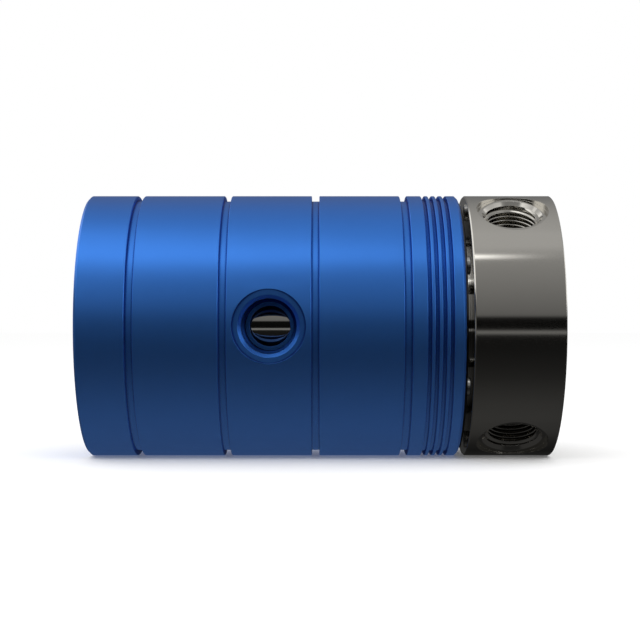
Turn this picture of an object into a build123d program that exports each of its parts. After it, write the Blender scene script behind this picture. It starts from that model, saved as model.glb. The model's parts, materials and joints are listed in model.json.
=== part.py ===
from build123d import *
from math import cos, radians, sin, sqrt
import os

# Hydraulic rotary union with three passages, in millimetres.
# A steel shaft with three drilled passages stands still on its port flange. An aluminium
# housing turns around it on two ball bearings, and pressure-energised seal rings keep the
# passages apart. The turning axis is X, +X points out of the mounting face of the port
# flange, and the origin is the centre of that face. Angles turn from +Y towards +Z.

# ---------------------------------------------------------------- driving dimensions
# Main sizes: the journal, and the wall of the housing around it
journal_radius = 27.5
housing_wall = 25.0
flange_thickness = 34.5
face_gap = 3.0
housing_end_chamfer = 1.0
flange_left_chamfer = 0.5
flange_right_chamfer = 0.3
edge_break = 0.2

# Passages and the seals between them
passage_count = 3
passage_pitch = 35.0
front_seal_wall = 3.4
rear_seal_wall = 1.9

# Grooves turned in the outside of the housing
band_groove_width = 3.0
band_groove_depth = 2.15
fin_groove_count = 4
fin_groove_pitch = 2.8
fin_groove_width = 1.5
fin_groove_depth = 2.0
first_fin_groove_distance = 5.2

# G1/2 ports, with a spotface for the sealing washer and a lead-in to the thread
port_thread_radius = 10.4775
port_depth = 17.0
port_lead_radius = 11.8
port_lead_angle = 90.0
spotface_radius = 14.0
spotface_depth = 2.3
housing_feed_radius = 7.85
flange_feed_radius = 5.5
flange_port_start_angle = 0.0
housing_port_start_angle = 60.0
port_angle_step = 120.0

# Shaft
bore_clearance = 0.4
shoulder_setback = 0.15
shoulder_length = 1.0
shaft_end_chamfer = 1.0
shaft_end_gap = 0.7
passage_radius = 6.0
passage_circle_radius = 15.0
cross_drill_radius = 5.5
annulus_depth = 3.1
annulus_side_room = 0.5

# Ball bearings: the front one locates the housing, the rear one steadies it
front_bearing_section = 12.5
front_bearing_width = 13.0
front_ball_radius = 3.7
front_ball_count = 12
front_land_offset = 2.6
rear_bearing_section = 8.5
rear_bearing_width = 9.0
rear_ball_radius = 2.4
rear_ball_count = 14
rear_land_offset = 1.5
ring_chamfer = 0.6
raceway_ratio = 1.04
cage_half_wall = 1.2
cage_rim = 1.0
shoulder_relief_depth = 0.8
shoulder_relief_margin = 1.0

# Rotary seals: a PTFE ring pressed on the journal by an O-ring behind it
seal_groove_width = 4.2
energiser_section = 2.73
seal_ring_wall = 2.7
seal_ring_chamfer = 0.3

# Retainer plate and its six M4 low-head screws
plate_rim = 2.5
plate_thickness = 4.0
plate_recess_depth = 3.0
plate_edge_wall = 0.25
plate_land = 1.0
plate_bore_room = 1.0
plate_lip = 1.0
plate_edge_chamfer = 0.3
dust_seal_section = 3.4
dust_seal_lip_height = 1.4
dust_seal_lip_length = 1.1
retainer_screw_count = 6
retainer_screw_start_angle = 30.0
retainer_head_sink = 1.4
retainer_thread_depth = 9.0

# Rear cover, its O-ring and its six M4 countersunk screws
cover_rim = 0.9
cover_edge_wall = 0.4
cover_thickness = 3.5
cover_spigot_wall = 2.8
cover_spigot_length = 4.0
cover_oring_section = 1.4
cover_screw_count = 6
cover_screw_start_angle = 0.0
cover_thread_depth = 8.0
cover_screw_length = 10.0
cover_screw_head_radius = 4.0
cover_sink_radius = 4.2

# Screws of the port flange, its dowel and the face seals of its passages
flange_screw_count = 6
flange_screw_wall = 1.4
flange_screw_start_angle = 30.0
flange_screw_sink = 5.5
flange_thread_depth = 10.0
dowel_radius = 2.5
dowel_angle = 180.0
dowel_depth = 6.0
face_oring_radius = 7.3
face_oring_section = 1.9

# Retaining ring on the rear end of the shaft
circlip_thickness = 2.0
circlip_groove_depth = 1.5
circlip_radial_width = 3.2
circlip_gap = 9.0
circlip_lug_radius = 2.6
circlip_lug_hole_radius = 1.25

# Standard screws: core of the thread, clearance hole, head
m4_core_radius = 1.65
m4_clearance_radius = 2.2
m4_head_radius = 3.5
m4_head_height = 2.8
m4_socket_flats = 2.5
m4_socket_depth = 1.6
m5_core_radius = 2.1
m5_clearance_radius = 2.75
m5_head_radius = 4.25
m5_head_height = 5.0
m5_socket_flats = 4.0
m5_socket_depth = 2.5
head_room = 0.25
head_edge_chamfer = 0.3
screw_tip_gap = 1.5
countersink_angle = 90.0

# Tapped holes for the machine: M8 in the flange, M5 for a torque arm on the housing
mounting_hole_radius = 3.4
mounting_mouth_radius = 3.85
mounting_hole_count = 6
mounting_hole_depth = 20.0
mounting_circle_radius = 42.0
mounting_start_angle = 30.0
pilot_wall = 2.0
pilot_depth = 3.0
pilot_chamfer = 0.5
torque_arm_hole_radius = 2.1
torque_arm_mouth_radius = 2.6
torque_arm_hole_count = 4
torque_arm_hole_depth = 10.0
torque_arm_wall = 2.0
torque_arm_start_angle = 45.0

# Fits, all radial or per face
seat_clearance = 0.02
running_clearance = 0.03
plate_clearance = 0.05
thread_clearance = 0.02
ball_clearance = 0.02
pocket_clearance = 0.1
axial_clearance = 0.05

# ---------------------------------------------------------------- derived radii
# From the axis outwards: shaft, bearings, seals
body_radius = journal_radius + housing_wall
housing_bore_radius = journal_radius + bore_clearance
annulus_radius = housing_bore_radius + annulus_depth
front_bearing_radius = journal_radius + front_bearing_section
rear_bearing_radius = journal_radius + rear_bearing_section
front_pitch_radius = (journal_radius + front_bearing_radius) / 2
rear_pitch_radius = (journal_radius + rear_bearing_radius) / 2
front_seat_radius = front_bearing_radius + seat_clearance
rear_seat_radius = rear_bearing_radius + seat_clearance
seal_ring_outer_radius = journal_radius + running_clearance + seal_ring_wall
seal_groove_radius = seal_ring_outer_radius + energiser_section + 2 * seat_clearance
circlip_groove_radius = journal_radius - circlip_groove_depth
flange_screw_circle_radius = journal_radius - flange_screw_wall - m5_core_radius
pilot_radius = flange_screw_circle_radius - m5_head_radius - head_room - pilot_wall

# The dust seal and the plate's land share the face of the front bearing's outer ring
dust_seal_radius = front_bearing_radius - ring_chamfer - plate_land
shaft_head_radius = dust_seal_radius - dust_seal_section
shoulder_radius = front_pitch_radius - front_land_offset - shoulder_setback
plate_bore_radius = shaft_head_radius + plate_bore_room

# From the outside inwards: plate, cover and their screws
plate_radius = body_radius - plate_rim
plate_recess_radius = plate_radius + plate_clearance
retainer_screw_circle_radius = plate_radius - plate_edge_wall - m4_head_radius - head_room
torque_arm_circle_radius = body_radius - torque_arm_wall - torque_arm_hole_radius
cover_radius = torque_arm_circle_radius - torque_arm_hole_radius - cover_rim
cover_screw_circle_radius = cover_radius - cover_edge_wall - cover_sink_radius
port_seat_radius = body_radius - spotface_depth

# ---------------------------------------------------------------- derived stations along the axis
half_seal_groove = seal_groove_width / 2
first_seal_distance = plate_recess_depth + front_bearing_width + front_seal_wall + half_seal_groove
rear_bearing_depth = cover_thickness + cover_spigot_length + rear_bearing_width
rear_end_length = rear_bearing_depth + rear_seal_wall + half_seal_groove
housing_front = -flange_thickness - face_gap
housing_rear = housing_front - first_seal_distance - passage_count * passage_pitch - rear_end_length
seal_stations = [housing_front - first_seal_distance - i * passage_pitch for i in range(passage_count + 1)]
port_stations = [seal_stations[i] - passage_pitch / 2 for i in range(passage_count)]
housing_port_angles = [housing_port_start_angle + i * port_angle_step for i in range(passage_count)]
flange_port_angles = [flange_port_start_angle + (i + 1) * port_angle_step for i in range(passage_count)]
first_fin_station = housing_front - first_fin_groove_distance
fin_stations = [first_fin_station - i * fin_groove_pitch for i in range(fin_groove_count)]

shaft_front = -flange_thickness
plate_seat = housing_front - plate_recess_depth
plate_front = plate_seat + plate_thickness
front_bearing_back = plate_seat - front_bearing_width
cover_seat = housing_rear + cover_thickness
rear_bearing_back = cover_seat + cover_spigot_length
rear_bearing_front = housing_rear + rear_bearing_depth
shaft_end = cover_seat + shaft_end_gap
annulus_width = 2 * (housing_feed_radius + annulus_side_room)
flange_port_station = -flange_thickness / 2
flange_passage_top = flange_port_station + passage_radius


def front_plane(x):
    """A plane across the axis at x, facing +X, with its own x along +Y."""
    return Plane.YZ.offset(x)


def rear_plane(x):
    """A plane across the axis at x, facing -X, with its own x along +Y."""
    return Plane(origin=(x, 0, 0), x_dir=(0, 1, 0), z_dir=(-1, 0, 0))


def radial_plane(x, angle, radius):
    """A plane that touches the cylinder of this radius at x and angle, facing outwards."""
    outward = (0, cos(radians(angle)), sin(radians(angle)))
    return Plane(origin=(x, radius * outward[1], radius * outward[2]), x_dir=(1, 0, 0), z_dir=outward)


def band(x_start, x_end, inner, outer, mode=Mode.ADD):
    """One rectangle of a turned section, from x_start to x_end and from inner to outer radius."""
    with Locations(((x_start + x_end) / 2, (inner + outer) / 2)):
        Rectangle(abs(x_end - x_start), outer - inner, mode=mode)


def groove(station, width, bottom, mouth):
    """A groove cut into a turned section, centred on its station."""
    band(station - width / 2, station + width / 2, bottom, mouth, Mode.SUBTRACT)


def port(x, angle, feed_radius, feed_end):
    """Cut one threaded port: spotface, lead-in, thread bore and the feed bore below it."""
    with Locations(radial_plane(x, angle, port_seat_radius)):
        Cylinder(
            spotface_radius,
            2 * spotface_depth,
            align=(Align.CENTER, Align.CENTER, Align.MIN),
            mode=Mode.SUBTRACT,
        )
        CounterSinkHole(port_thread_radius, port_lead_radius, port_depth, port_lead_angle)
        Hole(feed_radius, port_seat_radius - feed_end)


os.makedirs("parts", exist_ok=True)

# ---------------------------------------------------------------- housing
with BuildPart() as housing:
    with BuildSketch(Plane.XZ) as housing_section:
        band(housing_rear, housing_front, housing_bore_radius, body_radius)
        # Seats of the retainer plate and of the front bearing
        band(plate_seat, housing_front, housing_bore_radius, plate_recess_radius, Mode.SUBTRACT)
        band(front_bearing_back, plate_seat, housing_bore_radius, front_seat_radius, Mode.SUBTRACT)
        relief_radius = front_pitch_radius + front_land_offset - shoulder_relief_margin
        relief_end = front_bearing_back - shoulder_relief_depth
        band(relief_end, front_bearing_back, housing_bore_radius, relief_radius, Mode.SUBTRACT)
        # Seats of the rear cover and of the rear bearing
        band(housing_rear, cover_seat, housing_bore_radius, cover_radius + plate_clearance, Mode.SUBTRACT)
        band(cover_seat, rear_bearing_front, housing_bore_radius, rear_seat_radius, Mode.SUBTRACT)
        relief_radius = rear_pitch_radius + rear_land_offset - shoulder_relief_margin
        relief_end = rear_bearing_front + shoulder_relief_depth
        band(rear_bearing_front, relief_end, housing_bore_radius, relief_radius, Mode.SUBTRACT)
        # Seal grooves, and an annulus that feeds each passage at every angle
        for station in seal_stations:
            groove(station, seal_groove_width, housing_bore_radius, seal_groove_radius)
            groove(station, band_groove_width, body_radius - band_groove_depth, body_radius)
        for station in port_stations:
            groove(station, annulus_width, housing_bore_radius, annulus_radius)
        for station in fin_stations:
            groove(station, fin_groove_width, body_radius - fin_groove_depth, body_radius)
        rim = housing_section.vertices().group_by(Axis.Y)[-1].sort_by(Axis.X)
        chamfer(rim[1:-1], length=edge_break)
        rim = housing_section.vertices().group_by(Axis.Y)[-1].sort_by(Axis.X)
        chamfer([rim[0], rim[-1]], length=housing_end_chamfer)
    revolve(axis=Axis.X)
    for station, angle in zip(port_stations, housing_port_angles):
        port(station, angle, housing_feed_radius, housing_bore_radius)
    with Locations(front_plane(plate_seat)):
        with PolarLocations(retainer_screw_circle_radius, retainer_screw_count, retainer_screw_start_angle):
            Hole(m4_core_radius, retainer_thread_depth)
    with Locations(rear_plane(cover_seat)):
        with PolarLocations(cover_screw_circle_radius, cover_screw_count, cover_screw_start_angle):
            Hole(m4_core_radius, cover_thread_depth)
    with Locations(rear_plane(housing_rear)):
        with PolarLocations(torque_arm_circle_radius, torque_arm_hole_count, torque_arm_start_angle):
            CounterSinkHole(
                torque_arm_hole_radius, torque_arm_mouth_radius, torque_arm_hole_depth, countersink_angle
            )
housing.part.label = "housing"
export_step(housing.part, "parts/housing.step")

# ---------------------------------------------------------------- shaft
oring_groove_depth = face_oring_section + seat_clearance
oring_groove_half_width = face_oring_section / 2 + axial_clearance
with BuildPart() as shaft:
    with BuildSketch(Plane.XZ) as shaft_section:
        band(shaft_end, shaft_front, 0, journal_radius)
        band(plate_seat, shaft_front, 0, shoulder_radius)
        band(plate_seat + shoulder_length, shaft_front, 0, shaft_head_radius)
        groove_front = rear_bearing_back - seat_clearance
        groove_back = rear_bearing_back - circlip_thickness - 2 * axial_clearance
        band(groove_back, groove_front, circlip_groove_radius, journal_radius, Mode.SUBTRACT)
        end_corner = shaft_section.vertices().group_by(Axis.X)[0].sort_by(Axis.Y)[-1]
        chamfer(end_corner, length=shaft_end_chamfer)
    revolve(axis=Axis.X)
    for station, angle in zip(port_stations, flange_port_angles):
        with Locations(front_plane(shaft_front)):
            with PolarLocations(passage_circle_radius, 1, angle):
                Hole(passage_radius, shaft_front - station + passage_radius)
        with Locations(radial_plane(station, angle, journal_radius)):
            Hole(cross_drill_radius, journal_radius - passage_circle_radius)
    with BuildSketch(front_plane(shaft_front)):
        with PolarLocations(passage_circle_radius, passage_count, flange_port_start_angle):
            Circle(face_oring_radius + oring_groove_half_width)
            Circle(face_oring_radius - oring_groove_half_width, mode=Mode.SUBTRACT)
    extrude(amount=-oring_groove_depth, mode=Mode.SUBTRACT)
    with Locations(front_plane(shaft_front)):
        with PolarLocations(flange_screw_circle_radius, flange_screw_count, flange_screw_start_angle):
            Hole(m5_core_radius, flange_thread_depth)
        with PolarLocations(flange_screw_circle_radius, 1, dowel_angle):
            Hole(dowel_radius + seat_clearance, dowel_depth + axial_clearance)
shaft.part.label = "shaft"
export_step(shaft.part, "parts/shaft.step")

# ---------------------------------------------------------------- port flange
with BuildPart() as port_flange:
    with BuildSketch(Plane.XZ) as flange_section:
        band(shaft_front, 0, 0, body_radius)
        band(-pilot_depth, 0, 0, pilot_radius, Mode.SUBTRACT)
        rim = flange_section.vertices().group_by(Axis.Y)[-1].sort_by(Axis.X)
        chamfer(rim[0], length=flange_left_chamfer)
        rim = flange_section.vertices().group_by(Axis.Y)[-1].sort_by(Axis.X)
        chamfer(rim[-1], length=flange_right_chamfer)
        pilot_mouth = flange_section.vertices().group_by(Axis.X)[-1].sort_by(Axis.Y)[0]
        chamfer(pilot_mouth, length=pilot_chamfer)
    revolve(axis=Axis.X)
    for angle in flange_port_angles:
        port(flange_port_station, angle, flange_feed_radius, passage_circle_radius)
    with Locations(rear_plane(shaft_front)):
        with PolarLocations(passage_circle_radius, passage_count, -flange_port_start_angle):
            Hole(passage_radius, flange_passage_top - shaft_front)
        with PolarLocations(flange_screw_circle_radius, 1, -dowel_angle):
            Hole(dowel_radius + seat_clearance, dowel_depth + axial_clearance)
    with Locations(front_plane(0)):
        with PolarLocations(flange_screw_circle_radius, flange_screw_count, flange_screw_start_angle):
            CounterBoreHole(
                m5_clearance_radius, m5_head_radius + head_room, flange_screw_sink, flange_thickness
            )
        with PolarLocations(mounting_circle_radius, mounting_hole_count, mounting_start_angle):
            CounterSinkHole(
                mounting_hole_radius, mounting_mouth_radius, mounting_hole_depth, countersink_angle
            )
port_flange.part.label = "port_flange"
export_step(port_flange.part, "parts/port_flange.step")

# ---------------------------------------------------------------- flange screws and dowel
flange_screw_seat = -flange_screw_sink
flange_screw_tip = shaft_front - flange_thread_depth + screw_tip_gap
with BuildPart() as flange_screws:
    with BuildSketch(front_plane(flange_screw_seat)):
        with PolarLocations(flange_screw_circle_radius, flange_screw_count, flange_screw_start_angle):
            Circle(m5_head_radius)
    extrude(amount=m5_head_height)
    chamfer(flange_screws.edges().group_by(Axis.X)[-1], length=head_edge_chamfer)
    with BuildSketch(front_plane(flange_screw_seat)):
        with PolarLocations(flange_screw_circle_radius, flange_screw_count, flange_screw_start_angle):
            Circle(m5_core_radius - thread_clearance)
    extrude(amount=flange_screw_tip - flange_screw_seat)
    with BuildSketch(front_plane(flange_screw_seat + m5_head_height)):
        with PolarLocations(flange_screw_circle_radius, flange_screw_count, flange_screw_start_angle):
            RegularPolygon(m5_socket_flats / 2, 6, major_radius=False)
    extrude(amount=-m5_socket_depth, mode=Mode.SUBTRACT)
flange_screws.part.label = "flange_screws"
export_step(flange_screws.part, "parts/flange_screws.step")

with BuildPart() as flange_dowel:
    with BuildSketch(front_plane(shaft_front)):
        with PolarLocations(flange_screw_circle_radius, 1, dowel_angle):
            Circle(dowel_radius)
    extrude(amount=dowel_depth, both=True)
    chamfer(flange_dowel.edges().filter_by(GeomType.CIRCLE), length=head_edge_chamfer)
flange_dowel.part.label = "flange_dowel"
export_step(flange_dowel.part, "parts/flange_dowel.step")

# ---------------------------------------------------------------- face seals of the passages
oring_centre = shaft_front - oring_groove_depth + face_oring_section / 2
with BuildPart() as passage_orings:
    with Locations(front_plane(oring_centre)):
        with PolarLocations(passage_circle_radius, passage_count, flange_port_start_angle):
            Torus(face_oring_radius, face_oring_section / 2)
passage_orings.part.label = "passage_orings"
export_step(passage_orings.part, "parts/passage_orings.step")

# ---------------------------------------------------------------- ball bearings
bearing_sizes = {
    "front_bearing": (front_bearing_back, front_bearing_width, front_bearing_radius),
    "rear_bearing": (rear_bearing_back, rear_bearing_width, rear_bearing_radius),
}
bearing_insides = {
    "front_bearing": (front_ball_radius, front_ball_count, front_land_offset),
    "rear_bearing": (rear_ball_radius, rear_ball_count, rear_land_offset),
}
for bearing, (back, width, outer_radius) in bearing_sizes.items():
    ball_radius, ball_count, land_offset = bearing_insides[bearing]
    front = back + width
    middle = back + width / 2
    pitch_radius = (journal_radius + outer_radius) / 2
    raceway_radius = ball_radius * raceway_ratio
    raceway_shift = raceway_radius - ball_radius - ball_clearance

    with BuildPart() as inner_ring:
        with BuildSketch(Plane.XZ) as ring_section:
            band(back, front, journal_radius + seat_clearance, pitch_radius - land_offset)
            chamfer(ring_section.vertices(), length=ring_chamfer)
            with Locations((middle, pitch_radius + raceway_shift)):
                Circle(raceway_radius, mode=Mode.SUBTRACT)
        revolve(axis=Axis.X)
    inner_ring.part.label = f"{bearing}_inner_ring"
    export_step(inner_ring.part, f"parts/{bearing}_inner_ring.step")

    with BuildPart() as outer_ring:
        with BuildSketch(Plane.XZ) as ring_section:
            band(back, front, pitch_radius + land_offset, outer_radius)
            chamfer(ring_section.vertices(), length=ring_chamfer)
            with Locations((middle, pitch_radius - raceway_shift)):
                Circle(raceway_radius, mode=Mode.SUBTRACT)
        revolve(axis=Axis.X)
    outer_ring.part.label = f"{bearing}_outer_ring"
    export_step(outer_ring.part, f"parts/{bearing}_outer_ring.step")

    with BuildPart() as cage:
        pocket_radius = ball_radius + pocket_clearance
        half_width = pocket_radius + cage_rim
        cage_outer_radius = pitch_radius + cage_half_wall
        with BuildSketch(Plane.XZ):
            band(middle - half_width, middle + half_width, pitch_radius - cage_half_wall, cage_outer_radius)
        revolve(axis=Axis.X)
        for ball_number in range(ball_count):
            with Locations(radial_plane(middle, ball_number * 360 / ball_count, cage_outer_radius)):
                Hole(pocket_radius, 2 * cage_half_wall + pocket_radius)
    cage.part.label = f"{bearing}_cage"
    export_step(cage.part, f"parts/{bearing}_cage.step")

    with BuildPart() as balls:
        with Locations(front_plane(middle)):
            with PolarLocations(pitch_radius, ball_count):
                Sphere(ball_radius)
    balls.part.label = f"{bearing}_balls"
    export_step(balls.part, f"parts/{bearing}_balls.step")

# ---------------------------------------------------------------- rotary seals
energiser_radius = (seal_groove_radius + seal_ring_outer_radius) / 2
for number, station in enumerate(seal_stations, start=1):
    with BuildPart() as rotary_seal:
        with BuildSketch(Plane.XZ) as seal_section:
            seal_back = station - seal_groove_width / 2 + axial_clearance
            seal_front = station + seal_groove_width / 2 - axial_clearance
            band(seal_back, seal_front, journal_radius + running_clearance, seal_ring_outer_radius)
            lip_corners = seal_section.vertices().group_by(Axis.Y)[0]
            chamfer(lip_corners, length=seal_ring_chamfer)
        revolve(axis=Axis.X)
    rotary_seal.part.label = f"rotary_seal_{number}"
    export_step(rotary_seal.part, f"parts/rotary_seal_{number}.step")

    with BuildPart() as seal_energiser:
        with Locations(front_plane(station)):
            Torus(energiser_radius, energiser_section / 2)
    seal_energiser.part.label = f"seal_energiser_{number}"
    export_step(seal_energiser.part, f"parts/seal_energiser_{number}.step")

# ---------------------------------------------------------------- retainer plate
seal_pocket_front = plate_front - plate_lip
with BuildPart() as retainer_plate:
    with BuildSketch(Plane.XZ) as plate_section:
        band(plate_seat, plate_front, plate_bore_radius, plate_radius)
        band(plate_seat, seal_pocket_front, plate_bore_radius, dust_seal_radius, Mode.SUBTRACT)
        rim = plate_section.vertices().group_by(Axis.Y)[-1].sort_by(Axis.X)
        chamfer(rim[-1], length=plate_edge_chamfer)
    revolve(axis=Axis.X)
    with Locations(front_plane(plate_front)):
        with PolarLocations(retainer_screw_circle_radius, retainer_screw_count, retainer_screw_start_angle):
            CounterBoreHole(
                m4_clearance_radius, m4_head_radius + head_room, retainer_head_sink, plate_thickness
            )
retainer_plate.part.label = "retainer_plate"
export_step(retainer_plate.part, "parts/retainer_plate.step")

retainer_screw_seat = plate_front - retainer_head_sink
retainer_screw_tip = plate_seat - retainer_thread_depth + screw_tip_gap
with BuildPart() as retainer_screws:
    with BuildSketch(front_plane(retainer_screw_seat)):
        with PolarLocations(retainer_screw_circle_radius, retainer_screw_count, retainer_screw_start_angle):
            Circle(m4_head_radius)
    extrude(amount=m4_head_height)
    chamfer(retainer_screws.edges().group_by(Axis.X)[-1], length=head_edge_chamfer)
    with BuildSketch(front_plane(retainer_screw_seat)):
        with PolarLocations(retainer_screw_circle_radius, retainer_screw_count, retainer_screw_start_angle):
            Circle(m4_core_radius - thread_clearance)
    extrude(amount=retainer_screw_tip - retainer_screw_seat)
    with BuildSketch(front_plane(retainer_screw_seat + m4_head_height)):
        with PolarLocations(retainer_screw_circle_radius, retainer_screw_count, retainer_screw_start_angle):
            RegularPolygon(m4_socket_flats / 2, 6, major_radius=False)
    extrude(amount=-m4_socket_depth, mode=Mode.SUBTRACT)
retainer_screws.part.label = "retainer_screws"
export_step(retainer_screws.part, "parts/retainer_screws.step")

# A rubber wiper: a heel seated in the plate and a lip that runs on the shaft head
wiper_back = plate_seat + axial_clearance
wiper_front = seal_pocket_front - axial_clearance
with BuildPart() as front_dust_seal:
    with BuildSketch(Plane.XZ):
        dust_seal_heel_radius = shaft_head_radius + dust_seal_lip_height
        band(wiper_back, wiper_front, dust_seal_heel_radius, dust_seal_radius - seat_clearance)
        lip_radius = shaft_head_radius + running_clearance
        with BuildLine():
            Polyline(
                (wiper_front, dust_seal_heel_radius),
                (wiper_front, lip_radius),
                (wiper_front - dust_seal_lip_length / 2, lip_radius),
                (wiper_front - dust_seal_lip_length, dust_seal_heel_radius),
                close=True,
            )
        make_face()
    revolve(axis=Axis.X)
front_dust_seal.part.label = "front_dust_seal"
export_step(front_dust_seal.part, "parts/front_dust_seal.step")

# ---------------------------------------------------------------- retaining ring of the shaft
circlip_front = rear_bearing_back - axial_clearance
circlip_bore_radius = circlip_groove_radius + seat_clearance
circlip_outer_radius = circlip_bore_radius + circlip_radial_width
lug_distance = circlip_bore_radius + circlip_lug_radius + seat_clearance
lug_offset = circlip_gap / 2 + circlip_lug_radius
lug_height = sqrt(lug_distance**2 - lug_offset**2)
with BuildPart() as shaft_circlip:
    with BuildSketch(rear_plane(circlip_front)):
        Circle(circlip_outer_radius)
        Circle(circlip_bore_radius, mode=Mode.SUBTRACT)
        with Locations((0, circlip_outer_radius)):
            Rectangle(circlip_gap, circlip_outer_radius, mode=Mode.SUBTRACT)
        with Locations((-lug_offset, lug_height), (lug_offset, lug_height)):
            Circle(circlip_lug_radius)
            Circle(circlip_lug_hole_radius, mode=Mode.SUBTRACT)
    extrude(amount=circlip_thickness)
shaft_circlip.part.label = "shaft_circlip"
export_step(shaft_circlip.part, "parts/shaft_circlip.step")

# ---------------------------------------------------------------- rear cover
spigot_radius = rear_bearing_radius
spigot_end = rear_bearing_back - axial_clearance
cover_oring_station = (cover_seat + spigot_end) / 2
cover_oring_radius = rear_seat_radius - seat_clearance - cover_oring_section / 2
with BuildPart() as rear_cover:
    with BuildSketch(Plane.XZ) as cover_section:
        band(housing_rear, cover_seat, 0, cover_radius)
        band(cover_seat, spigot_end, spigot_radius - cover_spigot_wall, spigot_radius)
        groove(
            cover_oring_station,
            cover_oring_section + 2 * axial_clearance,
            cover_oring_radius - cover_oring_section / 2 - seat_clearance,
            spigot_radius,
        )
        rim = cover_section.vertices().group_by(Axis.Y)[-1].sort_by(Axis.X)
        chamfer(rim[0], length=plate_edge_chamfer)
    revolve(axis=Axis.X)
    with Locations(rear_plane(housing_rear)):
        with PolarLocations(cover_screw_circle_radius, cover_screw_count, cover_screw_start_angle):
            CounterSinkHole(m4_clearance_radius, cover_sink_radius, cover_thickness, countersink_angle)
rear_cover.part.label = "rear_cover"
export_step(rear_cover.part, "parts/rear_cover.step")

with BuildPart() as rear_cover_screws:
    head_cone_height = cover_screw_head_radius - m4_core_radius + thread_clearance
    with Locations(rear_plane(housing_rear)):
        with PolarLocations(cover_screw_circle_radius, cover_screw_count, cover_screw_start_angle):
            Cone(
                m4_core_radius - thread_clearance,
                cover_screw_head_radius,
                head_cone_height,
                align=(Align.CENTER, Align.CENTER, Align.MAX),
            )
            Cylinder(
                m4_core_radius - thread_clearance,
                cover_screw_length,
                align=(Align.CENTER, Align.CENTER, Align.MAX),
            )
    with BuildSketch(rear_plane(housing_rear)):
        with PolarLocations(cover_screw_circle_radius, cover_screw_count, cover_screw_start_angle):
            RegularPolygon(m4_socket_flats / 2, 6, major_radius=False)
    extrude(amount=-m4_socket_depth, mode=Mode.SUBTRACT)
rear_cover_screws.part.label = "rear_cover_screws"
export_step(rear_cover_screws.part, "parts/rear_cover_screws.step")

with BuildPart() as rear_cover_oring:
    with Locations(front_plane(cover_oring_station)):
        Torus(cover_oring_radius, cover_oring_section / 2)
rear_cover_oring.part.label = "rear_cover_oring"
export_step(rear_cover_oring.part, "parts/rear_cover_oring.step")
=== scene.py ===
"""Looks of a hydraulic rotary union: finishes, port threads, studio and camera."""

import json
import logging
import math
from dataclasses import dataclass, field
from enum import Enum

import bpy
from mathutils import Matrix, Vector


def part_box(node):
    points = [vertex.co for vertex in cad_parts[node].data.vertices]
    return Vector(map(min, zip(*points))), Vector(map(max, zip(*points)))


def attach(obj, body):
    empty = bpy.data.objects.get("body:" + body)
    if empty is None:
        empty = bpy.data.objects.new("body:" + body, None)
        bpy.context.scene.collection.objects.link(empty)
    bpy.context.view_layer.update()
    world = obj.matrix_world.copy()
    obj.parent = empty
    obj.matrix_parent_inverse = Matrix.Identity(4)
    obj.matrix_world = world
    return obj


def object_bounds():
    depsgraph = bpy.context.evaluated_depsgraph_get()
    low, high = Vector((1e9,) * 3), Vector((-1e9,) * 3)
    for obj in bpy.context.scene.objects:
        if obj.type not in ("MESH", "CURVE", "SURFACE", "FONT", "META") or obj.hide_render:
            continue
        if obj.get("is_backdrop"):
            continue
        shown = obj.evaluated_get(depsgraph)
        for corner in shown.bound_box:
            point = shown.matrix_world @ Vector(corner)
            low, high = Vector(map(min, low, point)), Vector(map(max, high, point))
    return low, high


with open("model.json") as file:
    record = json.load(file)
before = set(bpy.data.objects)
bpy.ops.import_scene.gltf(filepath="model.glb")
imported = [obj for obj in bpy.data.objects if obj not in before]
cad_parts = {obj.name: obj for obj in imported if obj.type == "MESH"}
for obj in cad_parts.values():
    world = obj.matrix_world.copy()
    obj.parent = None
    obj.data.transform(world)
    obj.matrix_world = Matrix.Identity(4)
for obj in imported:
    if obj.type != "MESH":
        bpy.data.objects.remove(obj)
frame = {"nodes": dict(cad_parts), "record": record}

log = logging.getLogger("rotary_union")
MM = 0.001
WHITE = (1.0, 1.0, 1.0, 1.0)

# Soft clouds that the roughness and the tint of a metal follow
CLOUD_MM = 18.0
CLOUD_TINT = 0.94
# A moulded grain: its height, and its deepest tint
MOULD_DEPTH_MM = 0.02
MOULD_TINT = 0.8
# Share of open sky at which the painted shade in a groove is at its deepest, and at which it ends
GROOVE_SHADE_OPENNESS = (0.61, 0.89)
# A face whose normal lies closer to the axis than this is an end face
END_FACE_SLOPE = 0.7

# Section of a thread ridge: its base in shares of the pitch, the rest in shares of the depth and of
# half the pitch
BASE_SINK = 0.12
BASE_REACH = 0.47
FOOT_SINK, FOOT_REACH = 0.08, 0.86
TOP_SINK, TOP_REACH = 0.12, 0.24
CREST_REACH = 0.1
RUN_OUT_TURNS = 0.25
MERGE_DISTANCE = 1e-7
SMOOTH_ANGLE = math.radians(28)

Tree = bpy.types.NodeTree
Node = bpy.types.Node
Socket = bpy.types.NodeSocket


# ---------------------------------------------------------------- small helpers
def linear(hex_colour: str) -> tuple[float, float, float, float]:
    """Turn an sRGB hex colour into linear light.

    Args:
        hex_colour: six hex digits, such as "1f5fbf".

    Returns:
        Red, green, blue and alpha, each from 0 to 1.
    """
    channels = [int(hex_colour[i : i + 2], 16) / 255 for i in (0, 2, 4)]
    return (*[c / 12.92 if c <= 0.04045 else ((c + 0.055) / 1.055) ** 2.4 for c in channels], 1.0)


def add_node(tree: Tree, kind: str, links: dict | None = None, **settings) -> Node:
    """Add one shader node with its settings and what feeds it.

    Args:
        tree: the node tree of a material or the world.
        kind: the node's type name, such as "ShaderNodeTexNoise".
        links: input name or number to a value, or to the output socket that feeds it.
        settings: properties of the node, such as blend_type.

    Returns:
        The new node.
    """
    node = tree.nodes.new(kind)
    for name, value in settings.items():
        setattr(node, name, value)
    for name, value in (links or {}).items():
        if isinstance(value, Socket):
            tree.links.new(value, node.inputs[name])
        else:
            node.inputs[name].default_value = value
    return node


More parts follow.
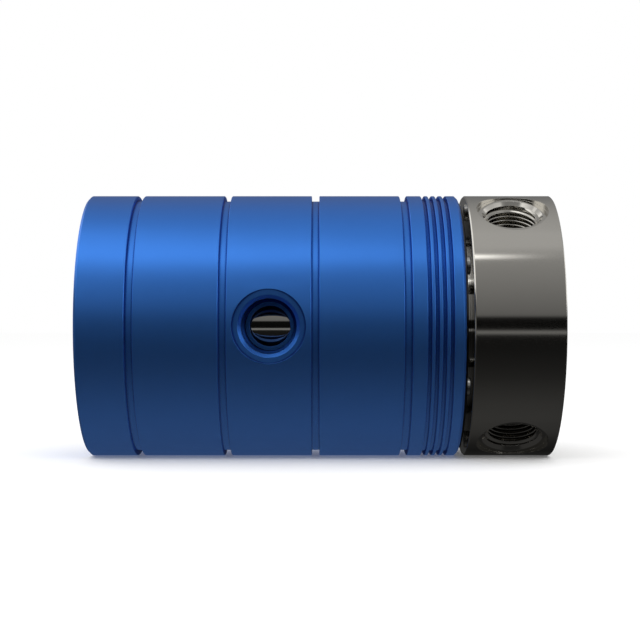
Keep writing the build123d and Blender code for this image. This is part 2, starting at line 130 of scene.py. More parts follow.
def new_material(name: str) -> tuple[bpy.types.Material, Tree]:
    """Make an empty node material.

    Args:
        name: what the material is, in a maker's words.

    Returns:
        The material and its node tree.
    """
    material = bpy.data.materials.new(name)
    material.use_nodes = True
    material.node_tree.nodes.clear()
    return material, material.node_tree


def darker(hex_colour: str, share: float) -> tuple[float, ...]:
    """Darken a colour.

    Args:
        hex_colour: six hex digits.
        share: the share of its light that stays.

    Returns:
        Red, green, blue and alpha in linear light.
    """
    return tuple(share * channel for channel in linear(hex_colour)[:3]) + (1.0,)


def looking_rays(tree: Tree) -> Socket:
    """Pick the rays that look at something: from the camera, off metal and through glass.

    Args:
        tree: the node tree of a material or the world.

    Returns:
        The socket that is 1 for those rays and 0 for the rays that only bring light.
    """
    rays = add_node(tree, "ShaderNodeLightPath").outputs
    looking = rays["Is Camera Ray"]
    for other in (rays["Is Glossy Ray"], rays["Is Transmission Ray"]):
        either = add_node(tree, "ShaderNodeMath", {0: looking, 1: other}, operation="MAXIMUM")
        looking = either.outputs[0]
    return looking


# ---------------------------------------------------------------- finishes
@dataclass(frozen=True)
class MetalFinish:
    """A bare or dyed metal surface that came off a lathe, with its fine turning marks.

    Attributes:
        name: the material's name.
        colour: sRGB hex colour of the metal as it mirrors white.
        roughness: mean roughness, from mirror 0 to matt 1.
        variation: how far the roughness wanders over the surface.
        mark_pitch_mm: distance between drawn turning marks.
        mark_depth_mm: height of the marks in the bump.
        grain_mm: size of the fine grain of the surface.
        grain_depth_mm: height of the grain in the bump.
        edge_mm: radius that the light sees on broken edges.
        film_colour: sRGB hex colour of what a thin oxide film scatters.
        film_share: share of the light that the film scatters.
        painted_groove_shade_colour: painted shade in narrow grooves, where light mirrors twice, as
            sRGB hex.
        groove_shade_mm: width of those grooves, or 0 for none.
    """

    name: str
    colour: str
    roughness: float
    variation: float
    mark_pitch_mm: float
    mark_depth_mm: float
    grain_mm: float
    grain_depth_mm: float
    edge_mm: float = 0.2
    film_colour: str = "808080"
    film_share: float = 0.0
    painted_groove_shade_colour: str = "000000"
    groove_shade_mm: float = 0.0

    def make(self) -> bpy.types.Material:
        """Build the node material.

        Returns:
            The finished material.
        """
        material, tree = new_material(self.name)
        coordinates = add_node(tree, "ShaderNodeTexCoord")
        place = coordinates.outputs["Object"]
        cloud = add_node(
            tree,
            "ShaderNodeTexNoise",
            {"Vector": place, "Scale": 1 / (CLOUD_MM * MM), "Detail": 3.0, "Roughness": 0.6},
        )
        roughness = add_node(
            tree,
            "ShaderNodeMapRange",
            {
                "Value": cloud.outputs["Fac"],
                "To Min": self.roughness - self.variation,
                "To Max": self.roughness + self.variation,
            },
        )
        grain = add_node(
            tree,
            "ShaderNodeTexNoise",
            {"Vector": place, "Scale": 1 / (self.grain_mm * MM), "Detail": 2.0},
        )
        marks = add_node(
            tree,
            "ShaderNodeTexNoise",
            {
                "W": self._tool_travel(tree, coordinates),
                "Scale": 1 / (self.mark_pitch_mm * MM),
                "Detail": 2.0,
            },
            noise_dimensions="1D",
        )
        edges = add_node(tree, "ShaderNodeBevel", {"Radius": self.edge_mm * MM}, samples=6)
        bump_grain = add_node(
            tree,
            "ShaderNodeBump",
            {
                "Height": grain.outputs["Fac"],
                "Distance": self.grain_depth_mm * MM,
                "Strength": 1.0,
                "Normal": edges.outputs["Normal"],
            },
        )
        bump = add_node(
            tree,
            "ShaderNodeBump",
            {
                "Height": marks.outputs["Fac"],
                "Distance": self.mark_depth_mm * MM,
                "Strength": 1.0,
                "Normal": bump_grain.outputs["Normal"],
            },
        )
        tint = add_node(
            tree,
            "ShaderNodeMix",
            {
                "Factor": cloud.outputs["Fac"],
                "A": linear(self.colour),
                "B": darker(self.colour, CLOUD_TINT),
            },
            data_type="RGBA",
        )
        colour = tint.outputs["Result"]
        # Painted shade: narrow grooves take a darker colour where little open sky reaches them
        if self.groove_shade_mm:
            colour = self._paint_groove_shade(tree, colour)
        shader = add_node(
            tree,
            "ShaderNodeBsdfPrincipled",
            {
                "Base Color": colour,
                "Metallic": 1.0,
                "Roughness": roughness.outputs["Result"],
                "Normal": bump.outputs["Normal"],
            },
        )
        surface = shader.outputs["BSDF"]
        if self.film_share:
            film = add_node(
                tree,
                "ShaderNodeBsdfDiffuse",
                {"Color": linear(self.film_colour), "Normal": bump.outputs["Normal"]},
            )
            surface = add_node(
                tree,
                "ShaderNodeMixShader",
                {0: self.film_share, 1: surface, 2: film.outputs["BSDF"]},
            ).outputs["Shader"]
        add_node(tree, "ShaderNodeOutputMaterial", {"Surface": surface})
        return material

    def _paint_groove_shade(self, tree: Tree, colour: Socket) -> Socket:
        """Paint shade into narrow grooves by darkening the colour where little open sky reaches.

        Args:
            tree: the material's node tree.
            colour: the socket with the open surface's colour.

        Returns:
            The socket with the mixed colour.
        """
        openness = add_node(
            tree,
            "ShaderNodeAmbientOcclusion",
            {"Distance": self.groove_shade_mm * MM},
            samples=8,
            only_local=True,
        )
        deepest, end = GROOVE_SHADE_OPENNESS
        share = add_node(
            tree,
            "ShaderNodeMapRange",
            {"Value": openness.outputs["AO"], "From Min": deepest, "From Max": end},
            interpolation_type="SMOOTHSTEP",
        )
        mixed = add_node(
            tree,
            "ShaderNodeMix",
            {"Factor": share.outputs["Result"], "A": linear(self.painted_groove_shade_colour), "B": colour},
            data_type="RGBA",
        )
        return mixed.outputs["Result"]

    @staticmethod
    def _tool_travel(tree: Tree, coordinates: Node) -> Socket:
        """Give the lathe tool's travel: along the axis on round faces, across it on end faces.

        Args:
            tree: the material's node tree.
            coordinates: its texture coordinates.

        Returns:
            The socket with the travel, in metres.
        """
        spot = coordinates.outputs["Object"]
        place = add_node(tree, "ShaderNodeSeparateXYZ", {"Vector": spot})
        across = add_node(
            tree, "ShaderNodeVectorMath", {0: spot, 1: (0.0, 1.0, 1.0)}, operation="MULTIPLY"
        )
        radius = add_node(tree, "ShaderNodeVectorMath", {0: across.outputs[0]}, operation="LENGTH")
        facing = add_node(tree, "ShaderNodeSeparateXYZ", {"Vector": coordinates.outputs["Normal"]})
        slope = add_node(tree, "ShaderNodeMath", {0: facing.outputs["X"]}, operation="ABSOLUTE")
        end_face = add_node(
            tree,
            "ShaderNodeMath",
            {0: slope.outputs[0], 1: END_FACE_SLOPE},
            operation="GREATER_THAN",
        )
        travel = add_node(
            tree,
            "ShaderNodeMix",
            {"Factor": end_face.outputs[0], "A": place.outputs["X"], "B": radius.outputs["Value"]},
            data_type="FLOAT",
        )
        return travel.outputs["Result"]


@dataclass(frozen=True)
class PlainFinish:
    """A rubber or plastic surface with a fine moulded grain.

    Attributes:
        name: the material's name.
        colour: sRGB hex colour.
        roughness: roughness from 0 to 1.
        grain_mm: size of the grain.
    """

    name: str
    colour: str
    roughness: float
    grain_mm: float

    def make(self) -> bpy.types.Material:
        """Build the node material.

        Returns:
            The finished material.
        """
        material, tree = new_material(self.name)
        place = add_node(tree, "ShaderNodeTexCoord").outputs["Object"]
        grain = add_node(
            tree, "ShaderNodeTexNoise", {"Vector": place, "Scale": 1 / (self.grain_mm * MM)}
        )
        bump = add_node(
            tree,
            "ShaderNodeBump",
            {"Height": grain.outputs["Fac"], "Distance": MOULD_DEPTH_MM * MM},
        )
        tint = add_node(
            tree,
            "ShaderNodeMix",
            {
                "Factor": grain.outputs["Fac"],
                "A": linear(self.colour),
                "B": darker(self.colour, MOULD_TINT),
            },
            data_type="RGBA",
        )
        shader = add_node(
            tree,
            "ShaderNodeBsdfPrincipled",
            {
                "Base Color": tint.outputs["Result"],
                "Roughness": self.roughness,
                "Normal": bump.outputs["Normal"],
            },
        )
        add_node(tree, "ShaderNodeOutputMaterial", {"Surface": shader.outputs["BSDF"]})
        return material


class Finish(Enum):
    """The finishes of the union's pieces.

    The numbers of a metal are its roughness, the roughness's variation, the pitch and depth of the
    turning marks, and the size and depth of the grain. Those of a plain finish are its roughness
    and the size of its grain. All lengths are in millimetres.
    """

    # Dyed and sealed oxide on turned aluminium: a satin, saturated blue metal, with painted shade
    # in its narrow grooves
    BLUE_ANODISED = MetalFinish(
        "blue_anodised_aluminium",
        "4488ea",
        0.36,
        0.015,
        0.25,
        0.0006,
        0.12,
        0.0012,
        edge_mm=0.16,
        film_colour="5887d7",
        film_share=0.04,
        painted_groove_shade_colour="123a94",
        groove_shade_mm=1.35,
    )
    # Thread flanks in the same blue, painted far darker as the shade deep in their bore
    BLUE_THREAD = MetalFinish(
        "blue_anodised_thread", "16356f", 0.42, 0.02, 0.3, 0.0004, 0.12, 0.001
    )
    # Fine-turned and polished steel: a soft mirror with a warm grey tone
    FLANGE_STEEL = MetalFinish(
        "polished_flange_steel", "c9c6bf", 0.105, 0.01, 0.2, 0.0002, 0.1, 0.0001
    )
    # Hard, ground journal: nearly a mirror
    JOURNAL_STEEL = MetalFinish(
        "ground_journal_steel", "d2d0ca", 0.05, 0.005, 0.3, 0.0001, 0.1, 0.00005
    )
    # Retainer behind the flange, dark grey as painted shade for the deep gap between housing and
    # flange, with a dull sheen
    BLACK_OXIDE = MetalFinish("dark_steel_painted_gap_shade", "45464c", 0.2, 0.02, 0.3, 0.0002, 0.1, 0.0002)
    # Hardened and ground bearing races and balls: bright
    BEARING_STEEL = MetalFinish("bearing_steel", "cfcdc8", 0.1, 0.01, 0.3, 0.0002, 0.1, 0.0001)
    # Thin zinc on rolled screws: bright and slightly soft
    SCREW_STEEL = MetalFinish(
        "zinc_plated_screw_steel", "c4c4c2", 0.22, 0.02, 0.3, 0.0003, 0.1, 0.0006
    )
    # Turned brass of the ball cages: yellow, with a satin sheen
    CAGE_BRASS = MetalFinish("machined_brass", "c8a25a", 0.25, 0.02, 0.3, 0.0004, 0.1, 0.0005)
    # PTFE with bronze powder: brown and waxy
    SEAL_PTFE = PlainFinish("bronze_filled_ptfe", "6b5136", 0.45, 0.08)
    # Moulded rubber: black and matt
    NITRILE = PlainFinish("nitrile_rubber", "1c1c1e", 0.6, 0.1)


class FinishShelf:
    """Makes each finish once and hands it out."""

    def __init__(self) -> None:
        """Start with an empty shelf."""
        self.made: dict[Finish, bpy.types.Material] = {}

    def get(self, finish: Finish) -> bpy.types.Material:
        """Hand out a finish's material, made on first use.

        Args:
            finish: the finish.

        Returns:
            Its material.
        """
        if finish not in self.made:
            self.made[finish] = finish.value.make()
        return self.made[finish]

    def dress_node(self, node: str, finish: Finish) -> None:
        """Give a CAD node's material slots this finish.

        Args:
            node: the CAD node's name.
            finish: the finish it gets.
        """
        obj = frame["nodes"][node]
        material = self.get(finish)
        if not obj.data.materials:
            obj.data.materials.append(material)
        for slot in obj.material_slots:
            slot.material = material
        log.info("dressed %s with %s", node, material.name)


# ---------------------------------------------------------------- threads
@dataclass(frozen=True)
class ThreadForm:
    """One standard internal thread, drawn as the ridge that stands in from its bore.

    Attributes:
        name: its name, as on a drawing.
        major_radius: radius of the plain bore, in metres.
        minor_radius: radius at the crest of the ridge, in metres.
        pitch: distance from turn to turn, in metres.
        steps: straight pieces in one turn.
    """

    name: str
    major_radius: float
    minor_radius: float
    pitch: float
    steps: int

    def profile(self) -> list[tuple[float, float]]:
        """Draw the ridge's section, a rounded V with its base behind the bore wall.

        Returns:
            Radius and height of each corner, in metres, from the lowest to the highest.
        """
        depth = self.major_radius - self.minor_radius
        half = self.pitch / 2
        upper = [
            (self.minor_radius, CREST_REACH * half),
            (self.minor_radius + TOP_SINK * depth, TOP_REACH * half),
            (self.major_radius - FOOT_SINK * depth, FOOT_REACH * half),
            (self.major_radius + BASE_SINK * self.pitch, BASE_REACH * self.pitch),
        ]
        lower = [(radius, -height) for radius, height in reversed(upper)]
        return lower + upper


class ThreadTool:
    """Cuts threads: models the ridge of one thread along +Z, then sets copies into the bores."""

    def __init__(self, form: ThreadForm, length: float) -> None:
        """Keep the form and the length.

        Args:
            form: the thread's form.
            length: threaded length, in metres, from the mouth at z = 0 down to z = -length.
        """
        self.form = form
        self.length = length

    def master(self, name: str) -> bpy.types.Object:
        """Model the ridge once, with its mouth end at z = 0.

        Args:
            name: name of the new object.

        Returns:
            The ridge, as a mesh object at the origin.
        """
        form = self.form
        turns = max(1, math.floor(self.length / form.pitch))
        bpy.ops.object.select_all(action="DESELECT")
        mesh = bpy.data.meshes.new(name)
        section = form.profile()
        bottom = -turns * form.pitch - form.pitch / 2
        corners = [(radius, 0.0, bottom + height) for radius, height in section]
        edges = [(i, (i + 1) % len(section)) for i in range(len(section))]
        mesh.from_pydata(corners, edges, [])
        ridge = bpy.data.objects.new(name, mesh)
        bpy.context.scene.collection.objects.link(ridge)
        bpy.context.view_layer.objects.active = ridge
        ridge.select_set(True)
        screw = ridge.modifiers.new("turns", "SCREW")
        screw.axis = "Z"
        screw.angle = 2 * math.pi
        screw.screw_offset = form.pitch
        screw.iterations = turns
        screw.steps = form.steps
        screw.render_steps = form.steps
        screw.use_smooth_shade = False
        bpy.ops.object.modifier_apply(modifier=screw.name)
        self._run_out(ridge, turns)
        bpy.ops.object.mode_set(mode="EDIT")
        bpy.ops.mesh.select_all(action="SELECT")
        bpy.ops.mesh.remove_doubles(threshold=MERGE_DISTANCE)
        bpy.ops.mesh.select_all(action="DESELECT")
        bpy.ops.mesh.select_non_manifold()
        bpy.ops.mesh.edge_face_add()
        bpy.ops.mesh.select_all(action="SELECT")
        bpy.ops.mesh.normals_make_consistent(inside=False)
        bpy.ops.object.mode_set(mode="OBJECT")
        bpy.ops.object.shade_smooth_by_angle(angle=SMOOTH_ANGLE)
        return ridge

    def _run_out(self, ridge: bpy.types.Object, turns: int) -> None:
        """Sink the first and last part of the ridge into the bore wall, as a tap leaves them.

        Args:
            ridge: the ridge after its screw modifier.
            turns: number of turns.
        """
        form = self.form
        for vertex in ridge.data.vertices:
            angle = math.atan2(vertex.co.y, vertex.co.x) % (2 * math.pi)
            height = vertex.co.z + turns * form.pitch + form.pitch / 2
            travelled = height / form.pitch
            turn = round(travelled - angle / (2 * math.pi)) + angle / (2 * math.pi)
            stands = min(turn, turns - turn) / RUN_OUT_TURNS
            if stands < 1:
                radius = math.hypot(vertex.co.x, vertex.co.y)
                inwards = (radius - form.major_radius) * max(0.0, stands)
                sunk = max(radius, form.major_radius + inwards)
                vertex.co.x *= sunk / radius
                vertex.co.y *= sunk / radius
        log.info("%s: %d turns", ridge.name, turns)

    @staticmethod
    def place(
        master: bpy.types.Object, name: str, mouth: Vector, outward: Vector
    ) -> bpy.types.Object:
        """Set one copy into a bore.

        Args:
            master: the ridge that was modelled once.
            name: the copy's name.
            mouth: centre of the bore's mouth, in metres.
            outward: unit direction out of the bore.

        Returns:
            The copy, with its own mesh, at the origin.
        """
        copy = master.copy()
        copy.data = master.data.copy()
        copy.name = name
        copy.data.name = name
        turn = outward.to_track_quat("Z", "X").to_matrix().to_4x4()
        copy.data.transform(Matrix.Translation(mouth) @ turn)
        bpy.context.scene.collection.objects.link(copy)
        return copy


# ---------------------------------------------------------------- sub-assemblies
@dataclass(frozen=True)
class PortKind:
    """What the ports of one CAD node have in common.

    Attributes:
        body: the body that they ride.
        node: the CAD node that they are cut in.
        finish: the finish of their threads.
        slot: the material slot of their threads; not used.
        pilot: plain bore above the thread, in metres.
    """

    body: str
    node: str
    finish: Finish
    slot: str
    pilot: float


@dataclass
class PortThreads:
    """The G1/2 threads of the six ports.

    Attributes:
        form: the thread's form.
        overlap: how far the thread's run-in reaches up into the lead-in, in metres.
        spotface_depth: from the body's round face to the spotface, in metres.
        lead_radius: radius of the 45 degree lead-in at the spotface, in metres.
        housing_ports: the ports of the housing.
        flange_ports: the ports of the flange.
    """

    form: ThreadForm = ThreadForm("G1/2", 10.4775 * MM, 9.3155 * MM, 1.8143 * MM, 72)
    overlap: float = 0.35 * MM
    spotface_depth: float = 2.3 * MM
    lead_radius: float = 11.8 * MM
    housing_ports: PortKind = PortKind(
        "housing", "housing", Finish.BLUE_THREAD, "blue_anodised_aluminium", 5.0 * MM
    )
    flange_ports: PortKind = PortKind(
        "shaft", "port_flange", Finish.FLANGE_STEEL, "ground_steel", 0.0
    )

    def build(self, shelf: FinishShelf) -> list[bpy.types.Object]:
        """Thread every port that the record states as a mount.

        Args:
            shelf: the finishes.

        Returns:
            The new pieces.
        """
        made = []
        masters: dict[PortKind, bpy.types.Object] = {}
        for mount in frame["record"]["mounts"]:
            if mount["kind"] != "threaded_hole":
                continue
            in_housing = mount["name"].startswith("housing")
            ports = self.housing_ports if in_housing else self.flange_ports
            if ports not in masters:
                length = mount["dims"]["length_mm"] * MM + self.overlap - ports.pilot
                masters[ports] = ThreadTool(self.form, length).master(f"{ports.body}_thread_master")
            outward = Vector(mount["axis"]).normalized()
            mouth = self._mouth(mount, ports, outward)
            piece = ThreadTool.place(masters[ports], f"{mount['name']}_thread", mouth, outward)
            piece.data.materials.clear()
            piece.data.materials.append(shelf.get(ports.finish))
            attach(piece, ports.body)
            made.append(piece)
            log.info("threaded %s", mount["name"])
        for master in masters.values():
            bpy.data.objects.remove(master)
        return made

    def _mouth(self, mount: dict, ports: PortKind, outward: Vector) -> Vector:
        """Find the centre of the thread's mouth from the mount.

        Args:
            mount: the port's mount in the record.
            ports: the kind of port it is.
            outward: unit direction out of the port.

        Returns:
            The point on the port's axis where the thread starts.
        """
        foot = Vector((mount["pos_m"][0], 0.0, 0.0))
        body_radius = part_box(ports.node)[1].z
        lead_depth = self.lead_radius - self.form.major_radius
        rise = body_radius - self.spotface_depth - lead_depth + self.overlap
        return foot + outward * rise - outward * ports.pilot


@dataclass
class TurnedPieces:
    """The finishes of all CAD nodes."""

    finishes: dict[str, Finish] = field(
        default_factory=lambda: {
            "housing": Finish.BLUE_ANODISED,
            "rear_cover": Finish.BLUE_ANODISED,
            "shaft": Finish.JOURNAL_STEEL,
            "port_flange": Finish.FLANGE_STEEL,
            "retainer_plate": Finish.BLACK_OXIDE,
            "retainer_screws": Finish.SCREW_STEEL,
            "rear_cover_screws": Finish.SCREW_STEEL,
            "flange_screws": Finish.SCREW_STEEL,
            "shaft_circlip": Finish.SCREW_STEEL,
        }
    )

    def finish_of(self, node: str) -> Finish:
        """Choose a node's finish, from the table or from what its name says it is.

        Args:
            node: the CAD node's name.

        Returns:
            Its finish.
        """
        if node in self.finishes:
            return self.finishes[node]
        if node.endswith("cage"):
            return Finish.CAGE_BRASS
        if "rotary_seal" in node:
            return Finish.SEAL_PTFE
        if "oring" in node or "energiser" in node or "dust_seal" in node:
            return Finish.NITRILE
        return Finish.BEARING_STEEL

    def dress(self, shelf: FinishShelf) -> None:
        """Dress every CAD node.

        Args:
            shelf: the finishes.
        """
        for node in sorted(frame["nodes"]):
            shelf.dress_node(node, self.finish_of(node))


# ---------------------------------------------------------------- studio
# Elevation in degrees and brightness of each stop of a reflection card, from the nadir up
Card = tuple[tuple[float, float], ...]


@dataclass(frozen=True)
class Layer:
    """One card of the reflection dome, laid over the cards before it.

    Attributes:
        card: its brightness by elevation.
        fades: where it fades in, each as an axis of the direction, the place on it where the card
            starts and the place where it is full. The axis "|X|" counts both ways.
        curve: how it fades in.
        blend: how it joins the cards before it.
    """

    card: Card
    fades: tuple[tuple[str, float, float], ...]
    curve: str = "SMOOTHSTEP"
    blend: str = "MIX"


@dataclass(frozen=True)
class Softbox:
    """A rectangular lamp that faces the object.

    Attributes:
        name: the lamp's name.
        offset: from the object's centre to the lamp, in metres.
        size: its width and height, in metres.
        watts: its power.
        mirrored: whether metal mirrors it.
    """

    name: str
    offset: tuple[float, float, float]
    size: tuple[float, float]
    watts: float
    mirrored: bool = True

    def hang(self, target: Vector) -> None:
        """Hang the lamp.

        Args:
            target: the point it faces.
        """
        data = bpy.data.lights.new(self.name, "AREA")
        data.shape = "RECTANGLE"
        data.size, data.size_y = self.size
        data.energy = self.watts
        lamp = bpy.data.objects.new(self.name, data)
        offset = Vector(self.offset)
        lamp.location = target + offset
        lamp.rotation_euler = (-offset).to_track_quat("-Z", "Y").to_euler()
        lamp.visible_glossy = self.mirrored
        bpy.context.scene.collection.objects.link(lamp)


@dataclass
class Studio:
    """Floor, lamps, reflection dome, world and camera.

    Attributes:
        camera_distance: from the lens to the turning axis, in metres.
        camera_lift: height of the lens above the turning axis, in metres.
        lens_mm: focal length on the sensor below.
        sensor_mm: width of the sensor.
        clip: nearest and farthest distance that the camera sees, in metres.
        floor_size: side of the square floor, in metres.
        floor_grey: how much of the light the floor throws back.
        floor_glow: light that the floor adds where it is looked at.
        world_fill: strength of the light from all round that falls on surfaces.
        dome_radius: radius of the reflection dome, in metres.
        front_card: what metal mirrors from the viewer's side, the ground of the dome.
        layers: the cards over it.
        softboxes: the lamps above and in front.
        bounce_strength: strength of the light that the white table throws up.
        bounce_angle: its angular size, in degrees.
        bounce_turn: how far it is turned about X from straight down, in degrees.
    """

    camera_distance: float = 0.62213
    camera_lift: float = 0.00231
    lens_mm: float = 86.06
    sensor_mm: float = 36.0
    clip: tuple[float, float] = (0.01, 50.0)
    floor_size: float = 12.0
    floor_grey: float = 0.9
    floor_glow: float = 0.1
    world_fill: float = 0.98
    dome_radius: float = 4.0
    front_card: Card = (
        (-90, 0.056), (-70, 0.048), (-57, 0.036), (-45, 0.024), (-34, 0.017), (-21, 0.0115),
        (-12, 0.01), (-7.5, 0.014), (-6.0, 0.26), (-4.6, 0.26), (-3.4, 0.004), (7.0, 0.005),
        (8.6, 0.17), (60, 0.36), (70, 0.56), (90, 0.57),
    )
    layers: tuple[Layer, ...] = (
        # A narrow bright strip high up, from the left to a little right of the middle
        Layer(
            ((-90, 0.0), (58.6, 0.0), (59.6, 1.8), (62.0, 1.8), (63.5, 0.0), (90, 0.0)),
            (("X", 0.16, 0.1),),
            blend="ADD",
        ),
        # All that is behind the object
        Layer(
            (
                (-90, 0.056), (-72, 0.042), (-62, 0.026), (-51, 0.016), (-38, 0.011), (-12, 0.016),
                (0, 0.05), (8, 0.14), (30, 0.24), (60, 0.42), (90, 0.57),
            ),
            (("Y", -0.05, 0.05),),
            curve="LINEAR",
        ),
        # All that is far to the left and right of it
        Layer(
            ((-90, 0.06), (-30, 0.04), (3, 0.03), (10, 0.2), (20, 0.4), (60, 0.6), (90, 0.6)),
            (("|X|", 0.25, 0.6),),
        ),
        # Bright panel on the left
        Layer(
            (
                (-90, 0.06), (-30, 0.04), (3, 0.03), (15, 0.05), (20, 1.35), (38, 1.35), (46, 0.4),
                (90, 0.6),
            ),
            (("X", -0.3, -0.45), ("Y", 0.8, 0.6)),
        ),
        # Bright panel on the right
        Layer(
            (
                (-90, 0.06), (-30, 0.04), (0, 0.03), (6.5, 0.05), (9, 1.35), (31, 1.35), (38, 0.3),
                (90, 0.6),
            ),
            (("X", 0.42, 0.55), ("Y", 0.5, 0.35)),
        ),
        # Soft panel beyond each end of the axis, so that end faces don't mirror darkness
        Layer(((-90, 0.3), (90, 0.3)), (("|X|", 0.983, 0.998),)),
    )
    softboxes: tuple[Softbox, ...] = (
        # Wide box over the object, a little to the left and front
        Softbox("key_softbox", (-0.5, -0.35, 1.3), (1.6, 0.8), 1.95),
        # Low box before the table: it fills the shadow, and metal doesn't mirror it
        Softbox("front_fill", (0.0, -1.2, 0.85), (1.8, 0.5), 10.0, mirrored=False),
    )
    bounce_strength: float = 17.0
    bounce_angle: float = 20.0
    bounce_turn: float = 188.0

    def build(self) -> None:
        """Build the whole studio."""
        low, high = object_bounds()
        centre = (low + high) / 2
        self._floor(low.z, centre)
        self._dome(centre)
        self._lamps(centre)
        self._world()
        self._camera(centre)
        bpy.context.scene.view_settings.view_transform = "Standard"

    def _floor(self, height: float, centre: Vector) -> None:
        """Lay a white floor that keeps the object's shadow.

        Args:
            height: the floor's height, in metres.
            centre: the object's centre.
        """
        bpy.ops.object.select_all(action="DESELECT")
        spot = (centre.x, centre.y, height)
        bpy.ops.mesh.primitive_plane_add(size=self.floor_size, location=spot)
        floor = bpy.context.object
        floor.name = "studio_floor"
        material, tree = new_material("white_studio_floor")
        grey = (self.floor_grey, self.floor_grey, self.floor_grey, 1.0)
        diffuse = add_node(tree, "ShaderNodeBsdfDiffuse", {"Color": grey})
        glow = add_node(tree, "ShaderNodeEmission", {"Color": WHITE, "Strength": self.floor_glow})
        lit = add_node(tree, "ShaderNodeAddShader", {0: diffuse.outputs[0], 1: glow.outputs[0]})
        surface = add_node(
            tree,
            "ShaderNodeMixShader",
            {0: looking_rays(tree), 1: diffuse.outputs[0], 2: lit.outputs[0]},
        )
        add_node(tree, "ShaderNodeOutputMaterial", {"Surface": surface.outputs[0]})
        floor.data.materials.append(material)
        floor.visible_glossy = False
        floor.visible_shadow = False
        floor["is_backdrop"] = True

    def _dome(self, centre: Vector) -> None:
        """Hang the reflection dome, which metal alone sees: grey above, dark round and below.

        Args:
            centre: the object's centre.
        """
        bpy.ops.object.select_all(action="DESELECT")
        bpy.ops.mesh.primitive_uv_sphere_add(
            segments=96, ring_count=48, radius=self.dome_radius, location=centre
        )
        dome = bpy.context.object
        dome.name = "reflection_dome"
        material, tree = new_material("reflection_cards")
        place = add_node(tree, "ShaderNodeTexCoord").outputs["Object"]
        unit = add_node(tree, "ShaderNodeVectorMath", {0: place}, operation="NORMALIZE")
        split = add_node(tree, "ShaderNodeSeparateXYZ", {"Vector": unit.outputs[0]}).outputs
        along = add_node(tree, "ShaderNodeMath", {0: split["X"]}, operation="ABSOLUTE")
        axes = {"X": split["X"], "Y": split["Y"], "|X|": along.outputs[0]}
        slope = add_node(tree, "ShaderNodeMath", {0: split["Z"]}, operation="ARCSINE")
        rise = add_node(
            tree,
            "ShaderNodeMapRange",
            {"Value": slope.outputs[0], "From Min": -math.pi / 2, "From Max": math.pi / 2},
        ).outputs["Result"]
        level = self._brightness(tree, rise, self.front_card)
        for layer in self.layers:
            level = self._lay(tree, level, rise, axes, layer)
        glow = add_node(tree, "ShaderNodeEmission", {"Color": level, "Strength": 1.0})
        add_node(tree, "ShaderNodeOutputMaterial", {"Surface": glow.outputs[0]})
        dome.data.materials.append(material)
        dome.visible_camera = False
        dome.visible_diffuse = False
        dome.visible_transmission = False
        dome.visible_shadow = False
        dome.visible_volume_scatter = False
        dome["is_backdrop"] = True

    @staticmethod
    def _brightness(tree: Tree, rise: Socket, card: Card) -> Socket:
        """Draw one card's brightness over the elevation.

        Args:
            tree: the dome's node tree.
            rise: the elevation, from 0 at the nadir to 1 at the zenith.
            card: the card.

        Returns:
            The socket with the brightness.
        """
        ramp = add_node(tree, "ShaderNodeValToRGB", {"Fac": rise})
        elements = ramp.color_ramp.elements
        while len(elements) < len(card):
            elements.new(1.0)
        for element, (degrees, level) in zip(elements, card):
            element.position = (degrees + 90) / 180
            element.color = (level, level, level, 1.0)
        return ramp.outputs["Color"]

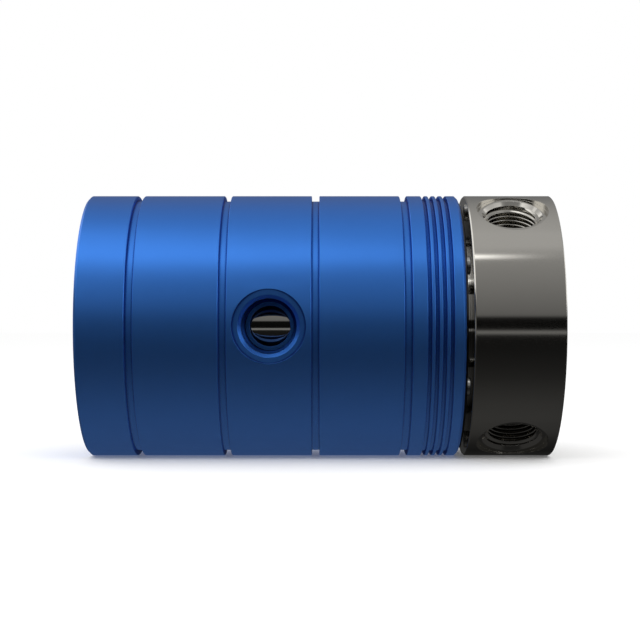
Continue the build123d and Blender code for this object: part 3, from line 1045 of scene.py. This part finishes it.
    def _lay(
        self, tree: Tree, level: Socket, rise: Socket, axes: dict[str, Socket], layer: Layer
    ) -> Socket:
        """Lay one more card over the dome.

        Args:
            tree: the dome's node tree.
            level: the brightness so far.
            rise: the elevation, from 0 at the nadir to 1 at the zenith.
            axes: the parts of the direction from the object, by name.
            layer: the card and where it lies.

        Returns:
            The socket with the new brightness.
        """
        shares = []
        for axis, start, full in layer.fades:
            links = {"Value": axes[axis], "From Min": start, "From Max": full}
            fade = add_node(tree, "ShaderNodeMapRange", links, interpolation_type=layer.curve)
            shares.append(fade.outputs["Result"])
        share = shares[0]
        for other in shares[1:]:
            both = add_node(tree, "ShaderNodeMath", {0: share, 1: other}, operation="MULTIPLY")
            share = both.outputs[0]
        links = {"Factor": share, "A": level, "B": self._brightness(tree, rise, layer.card)}
        mixed = add_node(tree, "ShaderNodeMix", links, data_type="RGBA", blend_type=layer.blend)
        return mixed.outputs["Result"]

    def _lamps(self, centre: Vector) -> None:
        """Hang the softboxes, and throw the white table's light back up at the object.

        Args:
            centre: the object's centre.
        """
        for softbox in self.softboxes:
            softbox.hang(centre)
        bounce = bpy.data.lights.new("table_bounce", "SUN")
        bounce.energy = self.bounce_strength
        bounce.angle = math.radians(self.bounce_angle)
        lamp = bpy.data.objects.new("table_bounce", bounce)
        lamp.rotation_euler = (math.radians(self.bounce_turn), 0.0, 0.0)
        lamp.visible_glossy = False
        bpy.context.scene.collection.objects.link(lamp)

    def _world(self) -> None:
        """Light the shadows evenly, and show white where it is looked at."""
        world = bpy.data.worlds.new("studio_world")
        bpy.context.scene.world = world
        world.use_nodes = True
        tree = world.node_tree
        tree.nodes.clear()
        fill = add_node(tree, "ShaderNodeBackground", {"Color": WHITE, "Strength": self.world_fill})
        white = add_node(tree, "ShaderNodeBackground", {"Color": WHITE, "Strength": 1.0})
        surface = add_node(
            tree,
            "ShaderNodeMixShader",
            {0: looking_rays(tree), 1: fill.outputs[0], 2: white.outputs[0]},
        )
        add_node(tree, "ShaderNodeOutputWorld", {"Surface": surface.outputs[0]})

    def _camera(self, centre: Vector) -> None:
        """Stand the camera level, square to the turning axis.

        Args:
            centre: the object's centre.
        """
        data = bpy.data.cameras.new("camera")
        data.lens = self.lens_mm
        data.sensor_width = self.sensor_mm
        data.clip_start, data.clip_end = self.clip
        camera = bpy.data.objects.new("camera", data)
        camera.location = (centre.x, -self.camera_distance, self.camera_lift)
        camera.rotation_euler = (math.pi / 2, 0.0, 0.0)
        bpy.context.scene.collection.objects.link(camera)
        bpy.context.scene.camera = camera


def main() -> None:
    """Build and dress the union, then set up the studio."""
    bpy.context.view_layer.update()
    shelf = FinishShelf()
    TurnedPieces().dress(shelf)
    threads = PortThreads().build(shelf)
    log.info("%d port threads", len(threads))
    Studio().build()


if __name__ == "__main__":
    logging.basicConfig(level=logging.INFO, format="%(name)s: %(message)s")
    main()
